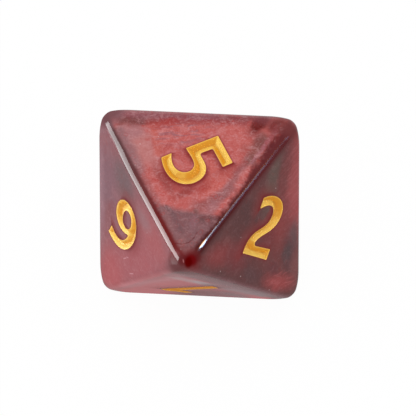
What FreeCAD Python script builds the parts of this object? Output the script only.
import FreeCAD, Part
import math
import os

import Sketcher
from FreeCAD import Vector

# Eight-sided playing die (regular octahedron) with an engraved numeral on
# every face. Millimetres, +Z up. The die stands on face 4, so face 5 is level
# on top, and the origin is the centre of face 4.
#
# Pieces: the moulded resin body, and one coat of paint in each numeral's
# groove. Opposite faces add up to nine.

doc = FreeCAD.newDocument("polyhedral_die")

# ---------------------------------------------------------------- dimensions
DRAWN_HEIGHT = 5.70  # numeral height at which the outlines below are given

# alias, value or formula, meaning
DIMENSIONS = [
    ("face_to_face", 15.0, "distance between two opposite faces"),
    ("edge_rounding", 0.85, "radius along the twelve edges"),
    ("tip_reach", 11.95, "distance from the centre to each blunted tip"),
    ("rim_rounding", 0.30, "radius round the rim of each blunted tip"),
    ("numeral_height", DRAWN_HEIGHT, "height of a numeral"),
    ("groove_depth", 0.40, "depth of a numeral's groove below its face"),
    ("groove_draft", 0.22, "how far a groove's wall leans in from lip to floor"),
    ("paint_coat", 0.08, "paint thickness, measured square to the face"),
    ("sharp_edge", "=face_to_face * sqrt(6) / 2",
     "edge length of the octahedron before it is rounded"),
    ("sharp_reach", "=face_to_face * sqrt(3) / 2",
     "distance from the centre to a tip before it is blunted"),
]
dims = doc.addObject("Spreadsheet::Sheet", "Dims")
for row, (alias, value, note) in enumerate(DIMENSIONS, start=1):
    dims.set("A%d" % row, note)
    dims.set("B%d" % row, str(value))
    dims.setAlias("B%d" % row, alias)
doc.recompute()

half_height = float(dims.face_to_face) / 2
sharp_edge = float(dims.sharp_edge)
sharp_reach = float(dims.sharp_reach)
tip_reach = float(dims.tip_reach)
groove_draft = float(dims.groove_draft)
numeral_scale = float(dims.numeral_height) / DRAWN_HEIGHT

# room by which cutting shapes overrun the octahedron
PRISM_OVERRUN = 2
FRAME_OVERRUN = 2
TIP_OVERRUN = 5

# how a groove's floor outline is worked out from its lip
TRACE_STEP = 0.03    # spacing of the points followed along a curve
TRACE_LEAST = 6      # fewest steps along any curve
SMOOTH_TURN = 6      # degrees; pieces that turn less than this join smoothly
END_EXTENSION = 5    # straight run added to a piece's ends, in multiples of the inset


# -------------------------------------------------------------------- guards
def fail(text):
    raise RuntimeError(text)


def check(obj):
    if "Invalid" in obj.State or "Error" in obj.State:
        fail("%s: %s" % (obj.Label, obj.State))
    if obj.Shape.isNull() or not obj.Shape.isValid():
        fail("%s has no valid shape" % obj.Label)


def check_cut(feature, before, least):
    """The feature must take at least this volume off the one before it."""
    check(feature)
    if before.Shape.Volume - feature.Shape.Volume < least:
        fail("%s removes too little" % feature.Label)


# ------------------------------------------------------------ numeral shapes
# Outlines in a face's own plane, in millimetres at DRAWN_HEIGHT: origin at the
# face's centre, +y towards the tip that the numeral's top points at, +x to the
# right seen from outside. Each outline is a closed run of pieces, each a list
# of (x, y). Two points make a straight edge, more make a smooth curve. A
# lone piece is a closed smooth curve. Any outline after the first is a hole.


def polyline(points):
    return [list(pair) for pair in zip(points, points[1:])]


def ellipse(center_x, center_y, radius_x, radius_y):
    angles = [math.radians(30 * i) for i in range(12)]
    points = [
        (center_x + radius_x * math.cos(angle), center_y + radius_y * math.sin(angle))
        for angle in angles
    ]
    return [points + [points[0]]]


NUMERALS = {
    1: [
        [
            [(-0.18, 3.12), (0.80, 3.12)],
            [(0.80, 3.12), (0.80, -2.57)],
            [(0.80, -2.57), (-0.24, -2.57)],
            [(-0.24, -2.57), (-0.24, 1.72)],
            [(-0.24, 1.72), (-0.62, 1.48), (-1.10, 1.30), (-1.58, 1.20)],
            [(-1.58, 1.20), (-1.58, 2.02)],
            [(-1.58, 2.02), (-1.12, 2.22), (-0.60, 2.60), (-0.18, 3.12)],
        ]
    ],
    2: [
        [
            [(-1.30, 2.66), (-0.62, 2.96), (0.10, 3.10), (0.78, 3.06), (1.36, 2.86),
             (1.80, 2.46), (2.02, 1.92), (2.02, 1.34), (1.82, 0.76), (1.44, 0.24),
             (0.92, -0.20), (0.38, -0.58), (-0.06, -0.95), (-0.34, -1.36)],
            [(-0.34, -1.36), (-0.26, -1.58), (0.05, -1.66)],
            [(0.05, -1.66), (2.14, -1.57)],
            [(2.14, -1.57), (2.14, -2.57)],
            [(2.14, -2.57), (-1.56, -2.58)],
            [(-1.56, -2.58), (-1.54, -2.02), (-1.42, -1.46), (-1.14, -0.92), (-0.70, -0.44),
             (-0.18, -0.04), (0.30, 0.36), (0.64, 0.82), (0.78, 1.32), (0.71, 1.78),
             (0.44, 2.10), (0.04, 2.20), (-0.42, 2.10), (-0.86, 1.90), (-1.28, 1.62)],
            [(-1.28, 1.62), (-1.30, 2.66)],
        ]
    ],
    3: [
        [
            [(-1.46, 2.78), (-0.80, 3.02), (-0.10, 3.12), (0.58, 3.06), (1.14, 2.82),
             (1.52, 2.42), (1.64, 1.92), (1.48, 1.40), (1.00, 0.84)],
            [(1.00, 0.84), (1.48, 0.46), (1.80, -0.06), (1.88, -0.66), (1.74, -1.28),
             (1.38, -1.86), (0.86, -2.28), (0.22, -2.53), (-0.46, -2.58), (-1.14, -2.48),
             (-1.76, -2.24)],
            [(-1.76, -2.24), (-1.76, -1.24)],
            [(-1.76, -1.24), (-1.30, -1.48), (-0.80, -1.64), (-0.28, -1.66), (0.20, -1.52),
             (0.56, -1.22), (0.72, -0.80), (0.62, -0.38), (0.30, -0.08), (-0.16, 0.05),
             (-0.80, 0.08)],
            [(-0.80, 0.08), (-0.80, 0.98)],
            [(-0.80, 0.98), (-0.28, 1.04), (0.18, 1.20), (0.50, 1.48), (0.56, 1.82),
             (0.36, 2.12), (-0.02, 2.24), (-0.50, 2.18), (-0.98, 2.00), (-1.46, 1.74)],
            [(-1.46, 1.74), (-1.46, 2.78)],
        ]
    ],
    4: [
        polyline([(0.16, 3.12), (1.30, 3.12), (1.30, -0.46), (2.06, -0.46), (2.06, -1.36),
                  (1.30, -1.36), (1.30, -2.57), (0.30, -2.57), (0.30, -1.36), (-2.04, -1.36),
                  (-2.04, -0.58), (0.16, 3.12)]),
        polyline([(0.30, -0.46), (-0.94, -0.46), (0.30, 1.64), (0.30, -0.46)]),
    ],
    5: [
        [
            [(-1.60, 3.10), (1.50, 3.10)],
            [(1.50, 3.10), (1.50, 2.14)],
            [(1.50, 2.14), (-0.42, 2.14)],
            [(-0.42, 2.14), (-0.57, 2.09), (-0.62, 1.94)],
            [(-0.62, 1.94), (-0.67, 1.12)],
            [(-0.67, 1.12), (-0.60, 0.93), (-0.42, 0.87)],
            [(-0.42, 0.87), (0.20, 0.88), (0.78, 0.80), (1.30, 0.52), (1.66, 0.05),
             (1.80, -0.55), (1.75, -1.15), (1.48, -1.72), (1.02, -2.17), (0.42, -2.46),
             (-0.28, -2.58), (-1.05, -2.54), (-1.86, -2.34)],
            [(-1.86, -2.34), (-1.86, -1.34)],
            [(-1.86, -1.34), (-1.42, -1.56), (-0.92, -1.70), (-0.40, -1.71), (0.06, -1.55),
             (0.40, -1.22), (0.55, -0.78), (0.47, -0.36), (0.20, -0.07), (-0.22, 0.06),
             (-0.95, 0.07), (-1.74, 0.03)],
            [(-1.74, 0.03), (-1.60, 3.10)],
        ]
    ],
    6: [
        [
            [(1.70, 3.10), (1.18, 3.14), (0.62, 3.11), (0.06, 2.99), (-0.50, 2.72),
             (-1.02, 2.29), (-1.45, 1.70), (-1.75, 1.00), (-1.90, 0.24)],
            [(-1.90, 0.24), (-1.88, -0.56), (-1.68, -1.30), (-1.28, -1.94), (-0.70, -2.37),
             (0.02, -2.54), (0.74, -2.42), (1.34, -2.04), (1.76, -1.46), (1.92, -0.76)],
            [(1.92, -0.76), (1.80, -0.06), (1.42, 0.50), (0.86, 0.82), (0.24, 0.86),
             (-0.36, 0.66), (-0.753, 0.404)],
            [(-0.753, 0.404), (-0.800, 0.385), (-0.850, 0.3945), (-0.887, 0.430),
             (-0.8986, 0.479)],
            [(-0.8986, 0.479), (-0.86, 0.76), (-0.70, 1.24), (-0.42, 1.70), (-0.02, 2.04),
             (0.48, 2.22), (1.04, 2.24), (1.62, 2.10)],
            [(1.62, 2.10), (1.70, 3.10)],
        ],
        [
            [(0.00, 0.12), (-0.40, 0.02), (-0.70, -0.28), (-0.82, -0.74), (-0.72, -1.26),
             (-0.42, -1.64), (0.00, -1.77), (0.40, -1.64), (0.66, -1.28), (0.73, -0.80),
             (0.62, -0.32), (0.36, 0.02), (0.00, 0.12)],
        ],
    ],
    7: [
        [
            [(-1.76, 3.10), (1.84, 3.12)],
            [(1.84, 3.12), (1.84, 2.36)],
            [(1.84, 2.36), (1.34, 1.42), (0.90, 0.46), (0.56, -0.52), (0.30, -1.52),
             (0.12, -2.57)],
            [(0.12, -2.57), (-0.98, -2.57)],
            [(-0.98, -2.57), (-0.78, -1.60), (-0.48, -0.64), (-0.10, 0.30), (0.34, 1.22),
             (0.84, 2.14)],
            [(0.84, 2.14), (-1.76, 2.10)],
            [(-1.76, 2.10), (-1.76, 3.10)],
        ]
    ],
    8: [
        [
            [(1.02, 0.58), (1.42, 1.02), (1.60, 1.58), (1.52, 2.16), (1.18, 2.68),
             (0.64, 3.01), (0.00, 3.13), (-0.64, 3.01), (-1.18, 2.68), (-1.52, 2.16),
             (-1.60, 1.58), (-1.42, 1.02), (-1.02, 0.58)],
            [(-1.02, 0.58), (-1.54, 0.18), (-1.84, -0.36), (-1.90, -0.98), (-1.70, -1.60),
             (-1.26, -2.12), (-0.66, -2.47), (0.00, -2.59), (0.66, -2.47), (1.26, -2.12),
             (1.70, -1.60), (1.90, -0.98), (1.84, -0.36), (1.54, 0.18), (1.02, 0.58)],
        ],
        ellipse(0.0, 1.68, 0.66, 0.62),
        ellipse(0.0, -0.82, 0.90, 0.86),
    ],
}

# Where a numeral sits off the middle of its face: the four that point at the
# lower tip sit further towards it, and the 1 also to its left.
SHIFTS = {1: (-0.80, 0.60), 4: (0.0, 0.44), 6: (0.0, 0.44), 7: (0.0, 0.44)}


def placed(number, outline):
    shift_x, shift_y = SHIFTS.get(number, (0.0, 0.0))
    return [
        [((x + shift_x) * numeral_scale, (y + shift_y) * numeral_scale) for x, y in piece]
        for piece in outline
    ]


# ------------------------------------------------------------- groove floors
def is_straight(piece):
    return len(piece) == 2


def curve_through(points, closed):
    curve = Part.BSplineCurve()
    if closed:
        curve.interpolate(Points=[Vector(x, y, 0) for x, y in points[:-1]], PeriodicFlag=True)
    else:
        curve.interpolate([Vector(x, y, 0) for x, y in points])
    return curve


def trace(piece, closed):
    """Points along a piece, and the piece's direction at each."""
    if is_straight(piece):
        (ax, ay), (bx, by) = piece
        length = math.dist(*piece)
        way = ((bx - ax) / length, (by - ay) / length)
        return piece, [way, way]
    curve = curve_through(piece, closed)
    length = sum(math.dist(a, b) for a, b in zip(piece, piece[1:]))
    count = max(TRACE_LEAST, int(length / TRACE_STEP))
    first, last = curve.FirstParameter, curve.LastParameter
    places, ways = [], []
    for i in range(count + 1):
        parameter = first + (last - first) * i / count
        place, way = curve.value(parameter), curve.tangent(parameter)[0]
        places.append((place.x, place.y))
        ways.append((way.x, way.y))
    return places, ways


def moved_left(places, ways, shift):
    return [(x - shift * way[1], y + shift * way[0]) for (x, y), way in zip(places, ways)]


def ahead(place, way, distance):
    return (place[0] + distance * way[0], place[1] + distance * way[1])


def between(start, end, share):
    return (start[0] + share * (end[0] - start[0]), start[1] + share * (end[1] - start[1]))


def cross(a, b):
    return a[0] * b[1] - a[1] * b[0]


def crossing(one, two, near):
    """Where two chains of points cross, nearest to a point, with the place on each chain."""
    slack = 1e-9
    parallel = 1e-14
    best = None
    for i in range(len(one) - 1):
        start = one[i]
        step_one = (one[i + 1][0] - start[0], one[i + 1][1] - start[1])
        for j in range(len(two) - 1):
            step_two = (two[j + 1][0] - two[j][0], two[j + 1][1] - two[j][1])
            turn = cross(step_one, step_two)
            if abs(turn) < parallel:
                continue
            apart = (two[j][0] - start[0], two[j][1] - start[1])
            along_one = cross(apart, step_two) / turn
            along_two = cross(apart, step_one) / turn
            if -slack <= along_one <= 1 + slack and -slack <= along_two <= 1 + slack:
                place = ahead(start, step_one, along_one)
                gap = math.dist(place, near)
                if best is None or gap < best[0]:
                    best = (gap, place, i + along_one, j + along_two)
    if best is None:
        fail("two walls of a groove do not meet")
    return best[1:]


def evenly_spaced(path, steps):
    """Points at equal distances along a path, both of its ends included."""
    run = [0.0]
    for a, b in zip(path, path[1:]):
        run.append(run[-1] + math.dist(a, b))
    points = []
    for step in range(steps + 1):
        wanted = run[-1] * step / steps
        i = 0
        while i < len(run) - 2 and run[i + 1] < wanted:
            i += 1
        part = run[i + 1] - run[i]
        share = 0.0 if part == 0 else (wanted - run[i]) / part
        points.append(between(path[i], path[i + 1], share))
    points[0], points[-1] = path[0], path[-1]
    return points


def inset_loop(points, shift):
    """A closed curve moved to the left of its own direction."""
    moved = moved_left(*trace(points, True), shift)
    count, last = len(points) - 1, len(moved) - 1
    kept = [moved[round(i * last / count)] for i in range(count)]
    return [kept + [kept[0]]]


def inset(outline, shift):
    """The outline moved to the left of its own direction, with mitred corners."""
    if len(outline) == 1:
        return inset_loop(outline[0], shift)

    # each piece is moved and run on at both ends, so that neighbours can cross
    reach = END_EXTENSION * abs(shift)
    chains, end_ways = [], []
    for piece in outline:
        places, ways = trace(piece, False)
        moved = moved_left(places, ways, shift)
        before = ahead(moved[0], ways[0], -reach)
        after = ahead(moved[-1], ways[-1], reach)
        chains.append([before] + moved + [after])
        end_ways.append((ways[0], ways[-1]))

    # corner k joins piece k to the next one
    count = len(outline)
    starts, stops, corners = [None] * count, [None] * count, [None] * count
    for k in range(count):
        following = (k + 1) % count
        way_in, way_out = end_ways[k][1], end_ways[following][0]
        cosine = way_in[0] * way_out[0] + way_in[1] * way_out[1]
        turn = math.degrees(math.acos(max(-1.0, min(1.0, cosine))))
        if turn < SMOOTH_TURN:
            corners[k] = between(chains[k][-2], chains[following][1], 0.5)
            stops[k], starts[following] = len(chains[k]) - 2, 1
        else:
            corners[k], stops[k], starts[following] = crossing(
                chains[k], chains[following], outline[k][-1]
            )

    result = []
    for k, piece in enumerate(outline):
        first, last = corners[k - 1], corners[k]
        if is_straight(piece):
            result.append([first, last])
            continue
        low, high = math.ceil(starts[k] + 1e-6), math.floor(stops[k] - 1e-6)
        path = [first] + chains[k][low:high + 1] + [last]
        result.append(evenly_spaced(path, len(piece) - 1))
    return result


def is_anticlockwise(outline):
    points = [point for piece in outline for point in piece[:-1]]
    return sum(cross(points[i - 1], points[i]) for i in range(len(points))) > 0


def floor_outlines(lips):
    """The floor lies inside the outer lip and outside the lip of a hole."""
    floors = []
    for index, outline in enumerate(lips):
        side = 1 if is_anticlockwise(outline) == (index == 0) else -1
        floors.append(inset(outline, side * groove_draft))
    return floors


LIPS = {
    number: [placed(number, outline) for outline in outlines]
    for number, outlines in NUMERALS.items()
}
FLOORS = {number: floor_outlines(lips) for number, lips in LIPS.items()}

# ------------------------------------------------------------------ the faces
# The octahedron is built with two tips on its local Z axis and the other four
# on the diagonals of its local XY plane.
DIAGONAL = math.sqrt(0.5)
TIPS = {
    "A": Vector(DIAGONAL, DIAGONAL, 0),
    "B": Vector(0, 0, 1),
    "C": Vector(-DIAGONAL, DIAGONAL, 0),
    "D": Vector(-DIAGONAL, -DIAGONAL, 0),
    "E": Vector(0, 0, -1),
    "F": Vector(DIAGONAL, -DIAGONAL, 0),
}
# face number: its three tips, the first being the one its numeral points at
FACES = {
    1: "ECD", 2: "BCD", 3: "BDF", 4: "EDF",
    5: "BAC", 6: "EAC", 7: "EFA", 8: "BFA",
}

# The local axes as they lie once face 4 is down on the XY plane.
LOCAL_X = Vector(-0.5, math.sqrt(0.75), 0)
LOCAL_Y = Vector(-0.5, -math.sqrt(1 / 12), math.sqrt(2 / 3))
LOCAL_Z = Vector(math.sqrt(0.5), math.sqrt(1 / 6), math.sqrt(1 / 3))


def face_frame(number):
    tips = [TIPS[name] for name in FACES[number]]
    normal = (tips[0] + tips[1] + tips[2]) * (1 / math.sqrt(3))
    up = tips[0] - normal * tips[0].dot(normal)
    up.normalize()
    return up.cross(normal), up, normal


def seat(body):
    """Stand a body built about the die's centre on face 4."""
    body.Placement = FreeCAD.Placement(
        Vector(0, 0, half_height), FreeCAD.Rotation(LOCAL_X, LOCAL_Y, LOCAL_Z, "ZXY")
    )
    body.setExpression(".Placement.Base.z", "Dims.face_to_face / 2")


# ------------------------------------------------------------------- sketches
def new_sketch(body, name, role):
    plane = [f for f in body.Origin.OriginFeatures if f.Role == role][0]
    sketch = body.newObject("Sketcher::SketchObject", name)
    sketch.AttachmentSupport = [(plane, "")]
    sketch.MapMode = "FlatFace"
    return sketch


def add_lines(sketch, points):
    """Straight lines from each (x, y) to the next; returns their indices."""
    return [
        sketch.addGeometry(Part.LineSegment(Vector(*a, 0), Vector(*b, 0)))
        for a, b in zip(points, points[1:])
    ]


def add_rhombus(sketch):
    """Section through the tips on Z: half an edge wide each way, tip to tip high."""
    half_edge = sharp_edge / 2
    corners = [(half_edge, 0), (0, sharp_reach), (-half_edge, 0), (0, -sharp_reach)]
    lines = add_lines(sketch, corners + corners[:1])
    x_axis, y_axis = -1, -2
    for i in range(4):
        axis = x_axis if i % 2 == 0 else y_axis
        sketch.addConstraint(
            Sketcher.Constraint("Coincident", lines[i], 2, lines[(i + 1) % 4], 1)
        )
        sketch.addConstraint(Sketcher.Constraint("PointOnObject", lines[i], 1, axis))
    origin = (-1, 1)
    right, upper, left, lower = [(line, 1) for line in lines]
    spans = [
        ("right_span", "DistanceX", origin, right, half_edge, "Dims.sharp_edge / 2"),
        ("left_span", "DistanceX", left, origin, half_edge, "Dims.sharp_edge / 2"),
        ("upper_span", "DistanceY", origin, upper, sharp_reach, "Dims.sharp_reach"),
        ("lower_span", "DistanceY", lower, origin, sharp_reach, "Dims.sharp_reach"),
    ]
    for name, kind, start, end, value, expression in spans:
        index = sketch.addConstraint(Sketcher.Constraint(kind, *start, *end, value))
        sketch.renameConstraint(index, name)
        sketch.setExpression("Constraints." + name, expression)


def numeral_sketch(body, name, number, outlines, height):
    """Outlines on a face; height is an expression, along the face's outward normal."""
    sketch = new_sketch(body, name, "XY_Plane")
    right, up, normal = face_frame(number)
    sketch.AttachmentOffset = FreeCAD.Placement(
        normal * half_height, FreeCAD.Rotation(right, up, normal, "ZXY")
    )
    for axis, part in zip("xyz", normal):
        sketch.setExpression(
            ".AttachmentOffset.Base." + axis,
            "(Dims.face_to_face / 2 + (%s)) * (%.12f)" % (height, part),
        )
    for outline in outlines:
        for piece in outline:
            if is_straight(piece):
                add_lines(sketch, piece)
            else:
                sketch.addGeometry(curve_through(piece, len(outline) == 1))
    return sketch


def numeral_loft(body, kind, name, sketch_prefix, number, lift="0"):
    """A groove's shape, from lip to floor, lifted off its place by an expression."""
    lip = numeral_sketch(body, "%sLip%d" % (sketch_prefix, number), number, LIPS[number], lift)
    floor = numeral_sketch(
        body, "%sFloor%d" % (sketch_prefix, number), number, FLOORS[number],
        lift + " - Dims.groove_depth",
    )
    loft = body.newObject("PartDesign::" + kind, "%s%d" % (name, number))
    loft.Profile = lip
    loft.Sections = [floor]
    loft.Ruled = True
    doc.recompute()
    check(loft)
    if len(loft.Shape.Solids) != 1:
        fail("%s is not one solid" % loft.Label)
    return loft


# --------------------------------------------------------------- moulded body
def build_octahedron(body):
    # a prism with the rhombus as its section, along local Y ...
    section = new_sketch(body, "FrontSection", "XZ_Plane")
    add_rhombus(section)
    prism = body.newObject("PartDesign::Pad", "Prism")
    prism.Profile = section
    prism.Midplane = True
    prism.Length = sharp_edge + PRISM_OVERRUN
    prism.setExpression("Length", "Dims.sharp_edge + %d" % PRISM_OVERRUN)
    doc.recompute()
    check(prism)

    # ... cut down by everything outside the same rhombus along local X
    outside = new_sketch(body, "SideSection", "YZ_Plane")
    add_rhombus(outside)
    wide, high = sharp_edge, sharp_reach + FRAME_OVERRUN
    add_lines(outside, [(wide, high), (-wide, high), (-wide, -high), (wide, -high), (wide, high)])
    octahedron = body.newObject("PartDesign::Pocket", "Octahedron")
    octahedron.Profile = outside
    octahedron.Midplane = True
    octahedron.Length = 4 * sharp_edge
    doc.recompute()
    check(octahedron)
    exact = math.sqrt(2) / 3 * sharp_edge ** 3
    if abs(octahedron.Shape.Volume - exact) > 1e-3 * exact:
        fail("the octahedron's volume is %.3f, not %.3f" % (octahedron.Shape.Volume, exact))
    return octahedron


def blunt_tips(body, octahedron):
    """Cut the six tips back to a sphere round the die's centre."""
    limit = new_sketch(body, "TipLimit", "XZ_Plane")
    far = sharp_reach + TIP_OVERRUN
    circle = Part.Circle(Vector(0, 0, 0), Vector(0, 0, 1), tip_reach)
    limit.addGeometry(Part.ArcOfCircle(circle, -math.pi / 2, math.pi / 2))
    add_lines(
        limit, [(0, tip_reach), (0, far), (far, far), (far, -far), (0, -far), (0, -tip_reach)]
    )
    blunt = body.newObject("PartDesign::Groove", "BluntTips")
    blunt.Profile = limit
    blunt.ReferenceAxis = (limit, ["V_Axis"])
    blunt.Angle = 360
    doc.recompute()
    check_cut(blunt, octahedron, 1)
    return blunt


def add_fillet(body, name, base, edges, alias, least):
    fillet = body.newObject("PartDesign::Fillet", name)
    fillet.Base = (base, edges)
    fillet.Radius = float(getattr(dims, alias))
    fillet.setExpression("Radius", "Dims." + alias)
    doc.recompute()
    check_cut(fillet, base, least)
    return fillet


def round_edges(body, blunt):
    """Round the twelve long edges."""
    long_edges = [
        "Edge%d" % index
        for index, edge in enumerate(blunt.Shape.Edges, start=1)
        if not edge.Degenerated and edge.Length > sharp_edge / 2
    ]
    if len(long_edges) != 12:
        fail("%d long edges, not 12" % len(long_edges))
    return add_fillet(body, "EdgeRounding", blunt, long_edges, "edge_rounding", 1)


def round_rims(body, rounded):
    """Round the rim of each blunted tip, where a spherical face ends."""
    tip_edges = [
        edge
        for face in rounded.Shape.Faces
        if isinstance(face.Surface, Part.Sphere)
        for edge in face.Edges
    ]
    rims = [
        "Edge%d" % index
        for index, edge in enumerate(rounded.Shape.Edges, start=1)
        if any(edge.isSame(other) for other in tip_edges)
    ]
    return add_fillet(body, "RimRounding", rounded, rims, "rim_rounding", 0.001)


def build_die():
    body = doc.addObject("PartDesign::Body", "DieBody")
    body.Label = "die_body"
    last = build_octahedron(body)
    last = blunt_tips(body, last)
    last = round_edges(body, last)
    last = round_rims(body, last)
    for number in FACES:
        groove = numeral_loft(body, "SubtractiveLoft", "Groove", "", number)
        check_cut(groove, last, 1)
        last = groove
    body.Tip = last
    seat(body)
    return body


# ------------------------------------------------------- paint in the grooves
def build_paint(number):
    """A coat from lip to lip: the groove's shape, less the same shape lifted by the coat."""
    body = doc.addObject("PartDesign::Body", "Paint%d" % number)
    body.Label = "numeral_%d_paint" % number
    full = numeral_loft(body, "AdditiveLoft", "Full", "Paint", number)
    relief = numeral_loft(body, "SubtractiveLoft", "Relief", "Relief", number, "Dims.paint_coat")
    check_cut(relief, full, full.Shape.Volume / 2)
    body.Tip = relief
    seat(body)
    return body


# --------------------------------------------------------------------- output
pieces = [build_die()] + [build_paint(number) for number in FACES]
doc.recompute()

for obj in doc.Objects:
    if "Invalid" in obj.State or "Error" in obj.State:
        fail("%s: %s" % (obj.Label, obj.State))

os.makedirs("parts", exist_ok=True)
for piece in pieces:
    check(piece)
    piece.Shape.exportStep("parts/%s.step" % piece.Label)
